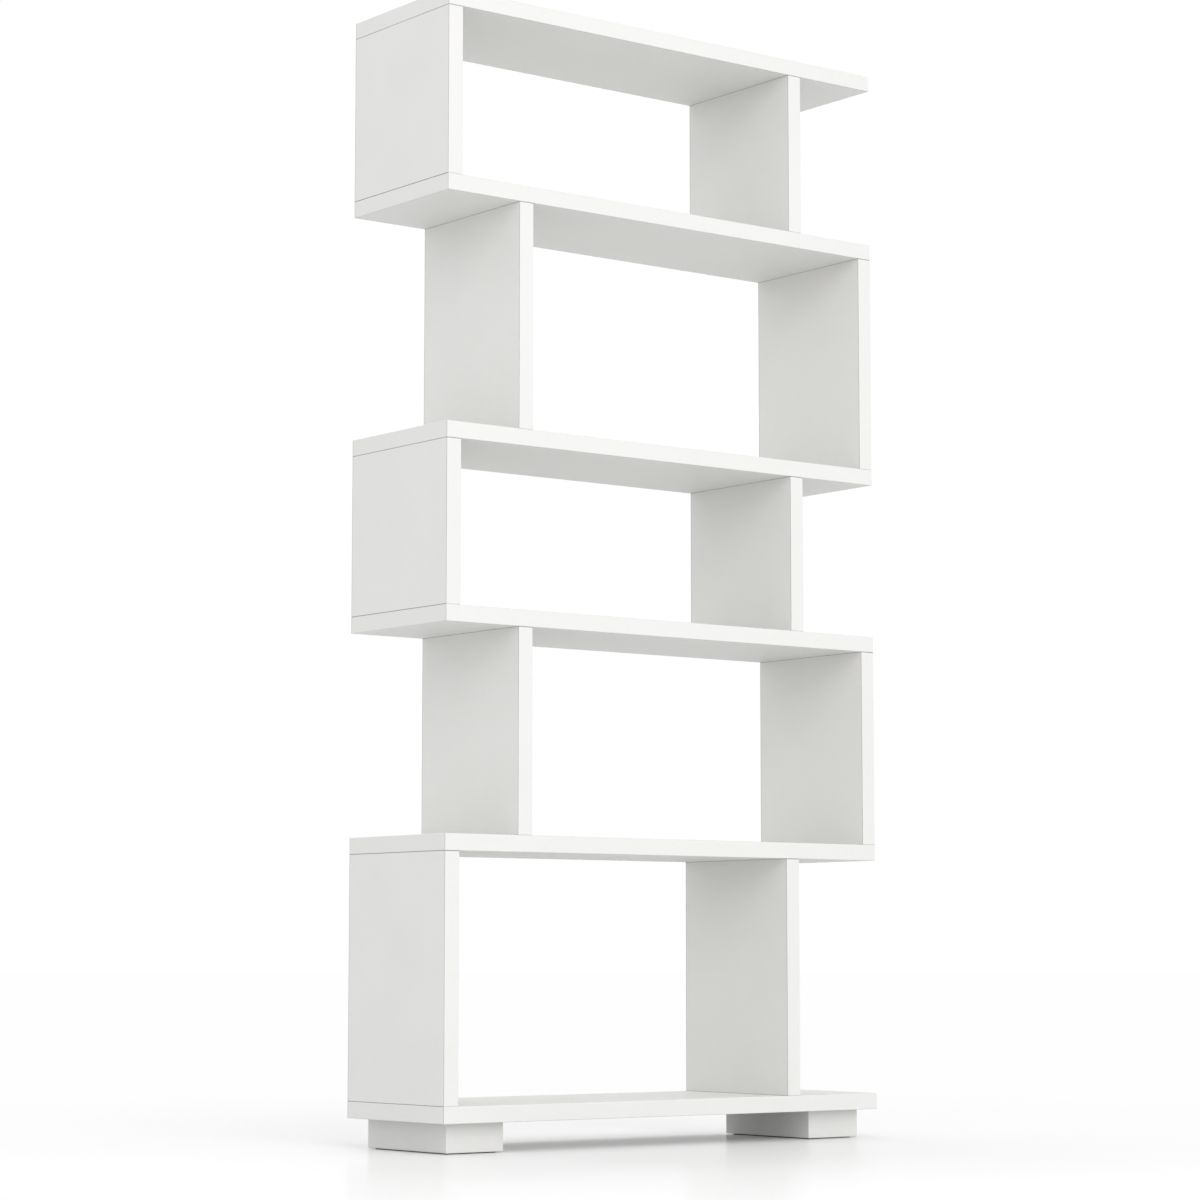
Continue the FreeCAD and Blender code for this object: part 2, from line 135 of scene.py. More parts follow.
def length(name, description, millimetres):
    return number(name, description, millimetres * MM, unit="LENGTH", min=0, precision=5)


def share(name, description, default):
    return number(name, description, default, subtype="FACTOR", min=0, max=1)


def level(name, description, default):
    return number(name, description, default, min=0)


def watts(name, description, default):
    return number(name, description, default, unit="POWER", min=0)


def angle(name, description, degrees):
    return number(name, description, math.radians(degrees), unit="ROTATION")


def point(name, description, metres):
    return bpy.props.FloatVectorProperty(
        name=name, description=description, default=metres, subtype="TRANSLATION", unit="LENGTH")


class BookshelfFinishes(bpy.types.PropertyGroup):
    """Colours and surfaces of the boards, feet and fittings."""

    # Also the painted lighter white of the shelves' end bands
    board_and_lit_end_band_white: colour("Board white", "Melamine faces of the boards", (0.675, 0.673, 0.659))
    board_roughness: share("Board roughness", "Middle roughness of the melamine", 0.55)
    white_gloss: share("White gloss", "Strength of the mirror of the boards, bands and feet", 0.2)
    cloud_size: length("Cloud size", "Width of the faint clouds in the melamine", 70)
    cloud_depth: share("Cloud depth", "How far the clouds darken the melamine", 0.018)
    pearl_size: length("Pearl size", "Width of the pearl emboss on the melamine", 1.4)
    pearl_height: length("Pearl height", "Height of the pearl emboss", 0.03)
    # Painted shade: width of the dark hairline painted where an upright meets a shelf, standing for the
    # shade in that seam
    seam_shade_line: length("Joint line", "Width of the bare hairline at the cut ends of an upright", 0.42)
    # Painted shade: width of the dark line painted over an upright's band where it meets the shelf above
    band_seam_shade: length("Band gap", "Width of the dark gap over the bands of an upright", 0.7)
    glue_line: length("Glue line", "Width of the glue line on each side of a band's joint", 0.25)
    # Tone of the glue lines, and of the painted seam shade in the hairlines and at the band tops
    glue_and_seam_shade_tone: colour("Line tone", "Bare core and glue that show in those lines", (0.28, 0.275, 0.265))
    chip_size: length("Chip size", "Width of the chips in the particle board", 2.2)
    chip_light: colour("Light chips", "Light chips of the particle board", (0.47, 0.38, 0.27))
    chip_dark: colour("Dark chips", "Dark chips of the particle board", (0.25, 0.18, 0.11))
    chip_spread: share("Chip spread", "How far single chips differ in tone", 0.6)
    core_roughness: share("Core roughness", "Roughness of the bare particle board", 0.9)
    band_white: colour("Band white", "Plastic bands on the front and back edges", (0.645, 0.643, 0.631))
    band_roughness: share("Band roughness", "Middle roughness of the edge bands", 0.5)
    band_line: length("Band line", "Spacing of the fine drawn lines along a band", 0.7)
    band_line_length: length("Band line length", "Length of those lines", 42)
    band_line_height: length("Band line height", "Height of those lines", 0.006)
    band_cloud: share("Band cloud", "Share of the clouds in a band's shade, beside its lines", 0.6)
    foot_white: colour("Foot white", "Paint on the block feet", (0.612, 0.61, 0.598))
    foot_roughness: share("Foot roughness", "Middle roughness of the paint", 0.5)
    peel_size: length("Peel size", "Width of the ripples in the paint", 2.5)
    peel_height: length("Peel height", "Height of those ripples", 0.03)
    # Painted shadow: the felt is near black so that the pads also stand for the shadow line under the feet
    felt_and_shadow_grey: colour("Felt grey", "Wool of the felt pads", (0.035, 0.034, 0.033))
    felt_fleck: colour("Felt fleck", "Light fibres in the felt", (0.11, 0.105, 0.1))
    zinc_grey: colour("Zinc grey", "Cast zinc of the cam locks", (0.47, 0.47, 0.48))
    steel_bright: colour("Steel bright", "Plated steel of the bolts and screws", (0.66, 0.67, 0.69))
    steel_tint: colour("Steel tint", "Faint colour in the plating", (0.62, 0.6, 0.5))
    cap_white: colour("Cap white", "Plastic of the cover caps", (0.675, 0.673, 0.659))
    beech_light: colour("Light beech", "Early wood of the dowels", (0.62, 0.41, 0.23))
    beech_dark: colour("Dark beech", "Late wood and rays of the dowels", (0.42, 0.24, 0.11))


class BookshelfFittings(bpy.types.PropertyGroup):
    """Sizes of the details on the fittings and pads."""

    cap_rim: length("Cap rim", "Width of the flat rim of a cover cap", 0.8)
    cap_dish: length("Cap dish", "Depth of the dish inside the rim", 0.15)
    cap_thickness: length("Cap thickness", "Thickness of a cap's disc", 1)
    cap_easing: length("Cap easing", "Easing of a cap's outer edge", 0.3)
    cap_stem: length("Cap stem", "Diameter of the stem behind a cap", 1.4)
    bolt_thread: length("Bolt thread", "Outside diameter of a cam bolt's thread", 6)
    bolt_thread_length: length("Bolt thread length", "Length of a cam bolt in the shelf", 11)
    bolt_pitch: length("Bolt pitch", "Pitch of a cam bolt's thread", 1.8)
    bolt_groove: length("Bolt groove", "Depth of a cam bolt's thread", 0.8)
    bolt_shank: length("Bolt shank", "Diameter of a cam bolt's shank", 6.8)
    bolt_neck: length("Bolt neck", "Diameter of the neck that the cam draws in", 4)
    bolt_neck_length: length("Bolt neck length", "Length of that neck", 7)
    bolt_head_length: length("Bolt head length", "Length of a cam bolt's head", 3)
    bolt_chamfer: length("Bolt chamfer", "Chamfer of a cam bolt's ends", 0.6)
    dowel_chamfer: length("Dowel chamfer", "Chamfer of a dowel's ends", 1)
    dowel_flutes: count("Dowel flutes", "Number of glue flutes round a dowel", 20)
    flute_depth: length("Flute depth", "Depth of a glue flute", 0.25)
    screw_shank: length("Screw shank", "Outside diameter of a foot screw's thread", 4)
    screw_plain: length("Screw plain length", "Length of a foot screw below its thread", 9)
    screw_tip: length("Screw tip", "Length of a foot screw's point", 4)
    screw_pitch: length("Screw pitch", "Pitch of a foot screw's thread", 1.8)
    screw_groove: length("Screw groove", "Depth of a foot screw's thread", 0.6)
    recess_span: length("Recess span", "Width of the cross recess in a screw's head", 5)
    recess_width: length("Recess width", "Width of one arm of the cross", 1.2)
    recess_depth: length("Recess depth", "Depth of the cross recess", 2.2)
    felt_corner: length("Felt corner", "Radius of a pad's corners", 4)
    felt_cell: length("Felt cell", "Width of the cells in a pad's mesh", 2)
    felt_easing: length("Felt easing", "Rounding of a pad's cut edges", 0.35)
    felt_waver: length("Felt waver", "How far a pad's cut edge wavers", 0.3)
    felt_hairs: count("Felt hairs", "Loose fibres on each square centimetre of a pad's edge", 110)
    felt_hair: length("Felt hair", "Length of a loose fibre", 1.6)


class BookshelfStudio(bpy.types.PropertyGroup):
    """The plain studio round the bookshelf."""

    backdrop: level("Backdrop", "Brightness of the white surroundings", 1.01)
    floor_glow: level("Floor glow", "Brightness of the floor far away", 0.99)
    floor_white: colour("Floor white", "Matt floor near the bookshelf", (0.855, 0.855, 0.855))
    floor_gloss: share("Floor gloss", "Share of a soft mirror in the floor", 0.33)
    floor_blur: share("Floor blur", "Roughness of that mirror", 0.17)
    floor_near: length("Floor near", "Distance at which the floor starts to fade", 500)
    floor_far: length("Floor far", "Distance at which the floor has faded", 1500)
    floor_reach: length("Floor reach", "Radius of the floor", 60000)
    key_power: watts("Key power", "Power of the large soft light at the front left, above", 68)
    key_size: length("Key size", "Width of that light", 2600)
    key_place: point("Key place", "Where that light hangs", (-1.35, -3.8, 2.55))
    back_power: watts("Back power", "Power of the large soft light behind, above", 18)
    back_size: length("Back size", "Width of that light", 3000)
    back_place: point("Back place", "Where that light hangs", (0, 2.2, 3))
    front_power: watts("Front power", "Power of the soft light low in front", 18)
    front_size: length("Front size", "Width of that light", 1200)
    front_place: point("Front place", "Where that light stands", (-0.3, -3.2, 0.5))
    camera_lens: number("Camera lens", f"Focal length on a {SENSOR_MM} mm sensor", 101.13, unit="CAMERA")
    camera_place: point("Camera place", "Where the camera stands", (-2.3132, -2.9555, 0.1991))
    camera_turn: angle("Camera turn", "Turn of the camera from straight ahead to the right", 37.71)
    camera_lift: angle("Camera lift", "Tilt of the camera above the horizon", 6.11)


# Node trees

class Field:
    """A node's output that takes part in arithmetic: each step adds a Math node to its tree."""

    def __init__(self, tree, socket):
        self.tree = tree
        self.socket = socket

    def __add__(self, other):
        return self.tree.math("ADD", self, other)

    __radd__ = __add__

    def __sub__(self, other):
        return self.tree.math("SUBTRACT", self, other)

    def __rsub__(self, other):
        return self.tree.math("SUBTRACT", other, self)

    def __mul__(self, other):
        return self.tree.math("MULTIPLY", self, other)

    __rmul__ = __mul__

    def __truediv__(self, other):
        return self.tree.math("DIVIDE", self, other)

    def __rtruediv__(self, other):
        return self.tree.math("DIVIDE", other, self)

    def __gt__(self, other):
        return self.tree.math("GREATER_THAN", self, other)

    def __lt__(self, other):
        return self.tree.math("LESS_THAN", self, other)

    def __abs__(self):
        return self.tree.math("ABSOLUTE", self)


class Step:
    """A node in a tree, whose outputs are read by name or number."""

    def __init__(self, tree, node):
        self.tree = tree
        self.node = node

    def __getitem__(self, output):
        return Field(self.tree, self.node.outputs[output])


class Tree:
    """A tree of surface or geometry nodes that grows a node at a time."""

    def __init__(self, tree):
        self.tree = tree
        self.tree.nodes.clear()

    def node(self, kind, inputs=None, **settings):
        """Add a node, set it up, and give its sockets their values or links."""
        node = self.tree.nodes.new(kind)
        for name, setting in settings.items():
            setattr(node, name, setting)
        for name, given in (inputs or {}).items():
            if isinstance(given, Field):
                self.tree.links.new(given.socket, node.inputs[name])
            else:
                node.inputs[name].default_value = given
        return Step(self, node)

    def math(self, operation, *values):
        return self.node("ShaderNodeMath", dict(enumerate(values)), operation=operation)[0]

    def ramp(self, value, start, end):
        """A smooth rise from 0 to 1 between two values."""
        return self.node("ShaderNodeMapRange", {"Value": value, "From Min": start, "From Max": end},
                         interpolation_type="SMOOTHSTEP")[0]

    def parts(self, vector):
        """The X, Y and Z of a vector."""
        split = self.node("ShaderNodeSeparateXYZ", {0: vector})
        return split["X"], split["Y"], split["Z"]


class Surface(Tree):
    """The node tree of one material."""

    def __init__(self, name):
        self.material = bpy.data.materials.new(name)
        self.material.use_nodes = True
        super().__init__(self.material.node_tree)
        self.place = self.node("ShaderNodeTexCoord")["Object"]

    def stretched(self, size):
        """The place on the piece, in repeats of one width or of widths along X, Y and Z."""
        sizes = size if isinstance(size, tuple) else (size,) * 3
        return self.node("ShaderNodeMapping", {
            "Vector": self.place, "Scale": tuple(1 / width for width in sizes)})[0]

    def grain(self, size, detail=2, roughness=0.5, distortion=0):
        """Soft noise of a given width."""
        return self.node("ShaderNodeTexNoise", {
            "Vector": self.stretched(size), "Scale": 1, "Detail": detail, "Roughness": roughness,
            "Distortion": distortion})["Fac"]

    def spread(self, noise):
        """The clouds of a noise, from 0 to 1."""
        return self.ramp(noise, CLOUD_LOW, CLOUD_HIGH)

    def clouded(self, clouds, tone, by):
        """A tone that darkens by a share where a noise is low."""
        return self.mix(clouds, dim(tone, by), tone)

    def mix(self, factor, start, end, blend="MIX"):
        """A blend of two colours."""
        sides = {socket: given if isinstance(given, Field) else (*given, 1)
                 for socket, given in ((FIRST_COLOUR, start), (SECOND_COLOUR, end))}
        return self.node("ShaderNodeMix", {0: factor, **sides}, data_type="RGBA", blend_type=blend)[BLEND]

    def facing(self, axis):
        """1 where the surface faces along an axis, and 0 elsewhere."""
        normal = self.node("ShaderNodeNewGeometry")["True Normal"]
        return abs(self.node("ShaderNodeSeparateXYZ", {0: normal})[axis]) > FACING

    def lines(self, gaps, width):
        """1 within a width of where any of some distances is nothing, and 0 elsewhere."""
        return reduce(lambda one, other: self.math("MINIMUM", one, other), map(abs, gaps)) < width

    def joints(self, heights, width):
        """Lines at some heights, where seams get painted shade."""
        up = self.parts(self.place)[2]
        return self.lines([up - height for height in heights], width)

    def glue(self, core, width, axes):
        """Lines where the bands across some axes meet a board, given the board's high corner."""
        across, along, _ = self.parts(self.place)
        gaps = {"X": abs(across) - core.x, "Y": abs(along) - core.y}
        return self.lines([gaps[axis] for axis in axes], width)

    def end(self, shader):
        """Hand over the material that ends in a shader."""
        self.node("ShaderNodeOutputMaterial", {"Surface": shader})
        return self.material

    def finish(self, inputs, relief, height):
        """End in one principled shader with a relief of a given height."""
        bump = self.node("ShaderNodeBump", {"Distance": height, "Height": relief})[0]
        return self.end(self.node("ShaderNodeBsdfPrincipled", {**inputs, "Normal": bump})[0])


def dim(tone, by):
    """A tone that is darker by a share."""
    return tuple(part * (1 - by) for part in tone)


def swing(noise, by):
    """A noise that swings about nothing, by so much from end to end."""
    return by * (noise - NOISE_MIDDLE)


# Finishes

def melamine_board(look, axis, core, banded, ends=()):
    """White melamine with a pearl emboss on the faces across an axis, bare particle board on the cut sides.

    A glue line runs beside the bands across the banded axes, given the board's high corner, and a dark
    hairline of painted seam shade runs at the heights where uprights end.
    """
    surface = Surface(f"white_melamine_across_{axis.lower()}")
    clouds = surface.grain(look.cloud_size, detail=4, roughness=0.6)
    pearl = surface.grain(look.pearl_size, roughness=0.6)
    white = surface.clouded(surface.spread(clouds), look.board_and_lit_end_band_white, look.cloud_depth)
    white = surface.mix(surface.glue(core, look.glue_line, banded), white, look.glue_and_seam_shade_tone)
    # Painted shade: a dark hairline at both ends of an upright, on all its faces, stands for the shade in
    # the seam with the shelf
    if ends:
        white = surface.mix(surface.joints(ends, look.seam_shade_line), white, look.glue_and_seam_shade_tone)
    chips = surface.node("ShaderNodeTexVoronoi", {
        "Vector": surface.stretched(look.chip_size), "Scale": 1})
    wood = surface.mix(surface.grain(look.chip_size / 2, detail=3), look.chip_dark, look.chip_light)
    wood = surface.mix(look.chip_spread, wood, chips["Color"], blend="SOFT_LIGHT")
    faced = surface.facing(axis)
    satin = look.board_roughness + swing(pearl, by=0.1) + swing(clouds, by=0.06)
    return surface.finish({
        "Base Color": surface.mix(faced, wood, white),
        "Roughness": satin * faced + look.core_roughness * (1 - faced),
        "Specular IOR Level": look.white_gloss
    }, relief=pearl, height=look.pearl_height)


def edge_band(look, axes, core, tops=()):
    """Satin plastic with fine lines drawn along the band, which runs along the given axes.

    The bands on the ends of the shelves take the boards' lighter white, painted light that makes them read
    brighter than the fronts. A glue line runs between a board and the bands on its front and back, and a
    dark line of painted seam shade runs at the heights of the tops.
    """
    surface = Surface(f"white_edge_band_along_{axes.lower()}")
    widths = tuple(look.band_line_length if axis in axes else look.band_line for axis in "XYZ")
    lines = surface.grain(widths, detail=3, roughness=0.6)
    clouds = surface.grain(look.cloud_size, detail=3)
    shade = look.band_cloud * surface.spread(clouds) + (1 - look.band_cloud) * lines
    # Painted light: the end bands, facing X and of the same plastic as the fronts, take the lighter board
    # white so that they read brighter
    white = surface.mix(surface.facing("X"), look.band_white, look.board_and_lit_end_band_white)
    white = surface.mix(1 - shade, white, dim((1, 1, 1), look.cloud_depth), blend="MULTIPLY")
    white = surface.mix(surface.glue(core, look.glue_line, "Y"), white, look.glue_and_seam_shade_tone)
    # Painted shade: a dark line at the top of an upright's band stands for the shade in the seam under the
    # shelf above
    if tops:
        white = surface.mix(surface.joints(tops, look.band_seam_shade), white, look.glue_and_seam_shade_tone)
    return surface.finish({
        "Base Color": white,
        "Roughness": look.band_roughness + swing(lines, by=0.14),
        "Specular IOR Level": look.white_gloss
    }, relief=lines, height=look.band_line_height)


def foot_paint(look):
    """Sprayed white paint with a soft peel."""
    surface = Surface("white_foot_paint")
    peel = surface.grain(look.peel_size, detail=1)
    clouds = surface.grain(look.cloud_size / 2, detail=3)
    white = surface.clouded(surface.spread(clouds), look.foot_white, look.cloud_depth)
    return surface.finish({
        "Base Color": white,
        "Roughness": look.foot_roughness + swing(clouds, by=0.1),
        "Specular IOR Level": look.white_gloss
    }, relief=peel, height=look.peel_height)


def wool_felt(look):
    """Pressed wool, a tangle of dark fibres with some light ones; its near-black grey also paints the shadow
    line under the feet.
    """
    long, thin, high = 2.4 * MM, 0.35 * MM, 0.25 * MM
    surface = Surface("grey_felt")
    fibres = (surface.grain((long, thin, thin), detail=3, distortion=1.5)
              + surface.grain((thin, long, thin), detail=3, distortion=1.5) - NOISE_MIDDLE)
    light = surface.ramp(fibres, start=0.45, end=0.75)
    return surface.finish({
        "Base Color": surface.mix(light, look.felt_and_shadow_grey, look.felt_fleck),
        "Roughness": 0.9 + swing(fibres, by=0.1),
        "Sheen Weight": 0.3
    }, relief=fibres, height=high)


def cast_zinc(look):
    """Dull die-cast zinc with a skin of small pits."""
    pit_width, pit_depth, bloom_width = 0.6 * MM, 0.03 * MM, 5 * MM
    surface = Surface("cast_zinc")
    skin = surface.grain(pit_width, detail=4, roughness=0.65)
    bloom = surface.grain(bloom_width)
    return surface.finish({
        "Base Color": surface.clouded(bloom, look.zinc_grey, by=0.25),
        "Metallic": 1,
        "Roughness": 0.42 + swing(skin, by=0.25)
    }, relief=skin, height=pit_depth)


def plated_steel(look):
    """Bright zinc plating with a faint tint and rubbed streaks."""
    tint_width, wide, long, deep = 4 * MM, 0.4 * MM, 3 * MM, 0.01 * MM
    surface = Surface("plated_steel")
    tint = surface.ramp(surface.grain(tint_width, detail=3), start=0.35, end=0.7)
    streaks = surface.grain((wide, wide, long), detail=3)
    return surface.finish({
        "Base Color": surface.mix(tint, look.steel_bright, look.steel_tint),
        "Metallic": 1,
        "Roughness": 0.27 + swing(streaks, by=0.2)
    }, relief=streaks, height=deep)


def cap_plastic(look):
    """Moulded plastic with a fine spark-eroded grain."""
    spark_width, spark_depth, flow_width = 0.25 * MM, 0.01 * MM, 6 * MM
    surface = Surface("white_cap_plastic")
    spark = surface.grain(spark_width)
    flow = surface.grain(flow_width)
    return surface.finish({
        "Base Color": surface.clouded(flow, look.cap_white, look.cloud_depth),
        "Roughness": 0.4 + swing(spark, by=0.12)
    }, relief=spark, height=spark_depth)


def beech_wood(look):
    """Beech with its grain along the dowel, and short dark rays."""
    wide, long, deep = 0.9 * MM, 14 * MM, 0.05 * MM
    ray_width, ray_length, ray_shade = 0.4 * MM, 2.5 * MM, 0.7
    surface = Surface("beech_dowel")
    grain = surface.grain((wide, wide, long), detail=4, roughness=0.6)
    rays = surface.ramp(surface.grain((ray_width, ray_width, ray_length), detail=1), start=0.6, end=0.72)
    shade = surface.spread(grain) * (1 - ray_shade * rays)
    return surface.finish({
        "Base Color": surface.mix(shade, look.beech_dark, look.beech_light),
        "Roughness": 0.62 + swing(grain, by=0.15)
    }, relief=grain, height=deep)


# Steps that the pieces share

def nodes_of(slot):
    """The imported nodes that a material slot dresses."""
    return [part["node"] for part in frame["record"]["subparts"] if part["material_slot"] == slot]


def dress(node, material):
    """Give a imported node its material."""
    frame["nodes"][node].material_slots[0].material = material


def joined(node):
    """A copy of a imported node's shape with its triangles joined, which drops those of no area."""
    shape = bmesh.new()
    shape.from_mesh(frame["nodes"][node].data)
    bmesh.ops.remove_doubles(shape, verts=shape.verts, dist=JOIN_WITHIN)
    return shape


def solids(node):
    """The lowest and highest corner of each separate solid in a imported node."""
    shape = joined(node)
    waiting = set(shape.verts)
    boxes = []
    while waiting:
        found = [waiting.pop()]
        for vert in found:
            near = [edge.other_vert(vert) for edge in vert.link_edges]
            found += [other for other in near if other in waiting]
            waiting.difference_update(near)
        low = Vector([min(vert.co[axis] for vert in found) for axis in range(3)])
        high = Vector([max(vert.co[axis] for vert in found) for axis in range(3)])
        boxes.append((low, high))
    shape.free()
    return sorted(boxes, key=lambda box: tuple(box[0]))


def new_piece(name, shape):
    """An object whose mesh is a given shape."""
    mesh = bpy.data.meshes.new(name)
    shape.to_mesh(mesh)
    shape.free()
    piece = bpy.data.objects.new(name, mesh)
    bpy.context.scene.collection.objects.link(piece)
    return piece


def remove(piece):
    """Delete a piece and its mesh."""
    mesh = piece.data
    bpy.data.objects.remove(piece)
    bpy.data.meshes.remove(mesh)


def smooth(mesh):
    """Shade a mesh smoothly between its sharp edges."""
    mesh.polygons.foreach_set("use_smooth", [True] * len(mesh.polygons))
    mesh.set_sharp_from_angle(angle=SMOOTH_ANGLE)


def settle(piece):
    """Swap a piece's modifiers for the plain mesh that they give."""
    blank = piece.data
    found = piece.evaluated_get(bpy.context.evaluated_depsgraph_get())
    mesh = bpy.data.meshes.new_from_object(found)
    piece.modifiers.clear()
    piece.data = mesh
    bpy.data.meshes.remove(blank)


def seat(piece, node):
    """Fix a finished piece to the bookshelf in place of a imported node."""
    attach(piece, BODY)
    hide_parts(node)


def new_geometry_tree(name, inputs):
    """A geometry tree with named inputs beside the piece's own mesh, and one output."""
    tree = bpy.data.node_groups.new(name, "GeometryNodeTree")
    for label, kind in {"Piece": "Geometry", **inputs}.items():
        tree.interface.new_socket(label, in_out="INPUT", socket_type=f"NodeSocket{kind}")
    tree.interface.new_socket("Piece", in_out="OUTPUT", socket_type="NodeSocketGeometry")
    return Tree(tree)


def end_geometry_tree(tree, geometry, finish):
    """Make the copies real, dress them and hand over the tree."""
    real = tree.node("GeometryNodeRealizeInstances", {"Geometry": geometry})[0]
    dressed = tree.node("GeometryNodeSetMaterial", {"Geometry": real, "Material": finish})[0]
    tree.node("NodeGroupOutput", {0: dressed})
    return tree.tree


def add_nodes(piece, tree, given):
    """Give a piece a geometry node modifier, with the inputs that are given by name."""
    modifier = piece.modifiers.new(tree.name, "NODES")
    modifier.node_group = tree
    for item in tree.interface.items_tree:
        if item.in_out == "INPUT" and item.name in given:
            modifier[item.identifier] = given[item.name]


# Turned pieces

def lathe(profile, sides):
    """A closed solid turned about Z from (radius, height) points, from the axis below to the axis above."""
    shape = bmesh.new()
    rings = []
    for radius, height in profile:
        turns = [FULL_TURN * step / sides for step in range(sides if radius > TINY else 1)]
        around = [(radius * math.cos(turn), radius * math.sin(turn), height) for turn in turns]
        rings.append([shape.verts.new(spot) for spot in around])
    for low, high in zip(rings, rings[1:]):
        for step in range(sides):
            corners = [low[step % len(low)], low[(step + 1) % len(low)],
                       high[(step + 1) % len(high)], high[step % len(high)]]
            shape.faces.new(dict.fromkeys(corners))
    return shape


def rows(radius, start, end, step):
    """Points of a straight stretch of a profile, close enough together to take grooves."""
    steps = max(1, round((end - start) / step))
    return [(radius, start + (end - start) * index / steps) for index in range(steps + 1)]


def turned_set_tree():
    """Cut a thread or flutes into a turned piece and repeat it at each of its places."""
    tree = new_geometry_tree("Turned set", {
        "Places": "Object", "Finish": "Material", "Grooves per metre": "Float", "Grooves round": "Float",
        "Groove depth": "Float", "Groove start": "Float", "Groove end": "Float", "Run out": "Float"})
    given = tree.node("NodeGroupInput")
    across, along, up = tree.parts(tree.node("GeometryNodeInputPosition")[0])
    turn = tree.math("ARCTAN2", along, across) / FULL_TURN
    # From 0 on a crest to 1 at the bottom of a groove, and back
    phase = tree.math("PINGPONG", up * given["Grooves per metre"] - turn * given["Grooves round"], 0.5) * 2
    inside = (tree.ramp(up, given["Groove start"], given["Groove start"] + given["Run out"])
              * (1 - tree.ramp(up, given["Groove end"] - given["Run out"], given["Groove end"])))
    radius = tree.math("MAXIMUM", tree.math("SQRT", across * across + along * along), TINY)
    kept = 1 - given["Groove depth"] * phase * inside / radius
    spot = tree.node("ShaderNodeCombineXYZ", {"X": across * kept, "Y": along * kept, "Z": up})[0]
    grooved = tree.node("GeometryNodeSetPosition", {"Geometry": given["Piece"], "Position": spot})[0]
    places = tree.node("GeometryNodeObjectInfo", {"Object": given["Places"]})["Geometry"]
    turned = tree.node("GeometryNodeInputNamedAttribute", {"Name": "turn"}, data_type="FLOAT_VECTOR")[0]
    turned = tree.node("FunctionNodeEulerToRotation", {0: turned})[0]
    copies = tree.node("GeometryNodeInstanceOnPoints", {
        "Points": places, "Instance": grooved, "Rotation": turned})[0]
    return end_geometry_tree(tree, copies, given["Finish"])


def standing(boxes):
    """Places of pieces that stand unturned in the middle of their boxes."""
    return [((*((low + high) / 2).xy, low.z), (0, 0, 0)) for low, high in boxes]


def make_set(name, blank, places, finish, grooves=None):
    """One mesh with a turned piece at each place, given as a point and the turn of the piece there."""
    piece = new_piece(name, blank)
    spots = bmesh.new()
    turn = spots.verts.layers.float_vector.new("turn")
    for place, angles in places:
        spots.verts.new(place)[turn] = angles
    spots = new_piece(f"{name}_places", spots)
    tree = bpy.data.node_groups.get("Turned set") or turned_set_tree()
    add_nodes(piece, tree, {"Places": spots, "Finish": finish, **(grooves or {})})
    settle(piece)
    smooth(piece.data)
    remove(spots)
    return piece


def cross_cutter(span, width, depth, start):
    """A tapered cross for the recess of a screw, from a start below the head to its depth inside."""
    shape = bmesh.new()
    out, half = span / 2, width / 2
    arm = [(half, out), (half, half), (out, half)]
    corners = []
    for side, end in ((1, 1), (1, -1), (-1, -1), (-1, 1)):
        turned = [(side * x, end * y) for x, y in arm]
        corners += turned if side == end else turned[::-1]
    rings = []
    for height, grow in ((start, 1), (depth, RECESS_TAPER)):
        rings.append([shape.verts.new((x * grow, y * grow, height)) for x, y in corners])
    shape.faces.new(rings[0])
    shape.faces.new(rings[1][::-1])
    for step, corner in enumerate(rings[0]):
        after = (step + 1) % len(corners)
        shape.faces.new((corner, rings[1][step], rings[1][after], rings[0][after]))
    bmesh.ops.recalc_face_normals(shape, faces=shape.faces)
    return shape


def cut_out(shape, cutter):
    """What is left of a shape outside a cutter."""
    piece = new_piece("blank", shape)
    tool = new_piece("cutter", cutter)
    modifier = piece.modifiers.new("cut", "BOOLEAN")
    modifier.object = tool
    modifier.solver = "EXACT"
    settle(piece)
    left = bmesh.new()
    left.from_mesh(piece.data)
    remove(piece)
    remove(tool)
    return left


# Felt pads

def sheet_steps(half, corner, cell):
    """Places of the rows of a rounded sheet's mesh, from one end to the other."""
    flat = half - corner
    steps = max(1, round(2 * flat / cell))
    middle = [flat * (2 * step / steps - 1) for step in range(steps + 1)]
    ends = [flat + corner * step / CORNER_ROWS for step in range(1, CORNER_ROWS + 1)]
    return [-end for end in reversed(ends)] + middle + ends


def rounded_sheet(middle, half, corner, cell):
    """A flat mesh of even cells with round corners."""
    shape = bmesh.new()
    columns = sheet_steps(half.x, corner, cell)
    lines = sheet_steps(half.y, corner, cell)

    def spot(x, y):
        over_x = max(abs(x) - half.x + corner, 0) / corner
        over_y = max(abs(y) - half.y + corner, 0) / corner
        x -= math.copysign(over_x * (1 - math.sqrt(1 - over_y ** 2 / 2)) * corner, x)
        y -= math.copysign(over_y * (1 - math.sqrt(1 - over_x ** 2 / 2)) * corner, y)
        return middle + Vector((x, y, 0))

    grid = [[shape.verts.new(spot(x, y)) for x in columns] for y in lines]
    for low, high in zip(grid, grid[1:]):
        for step in range(len(columns) - 1):
            shape.faces.new((low[step], low[step + 1], high[step + 1], high[step]))
    return shape


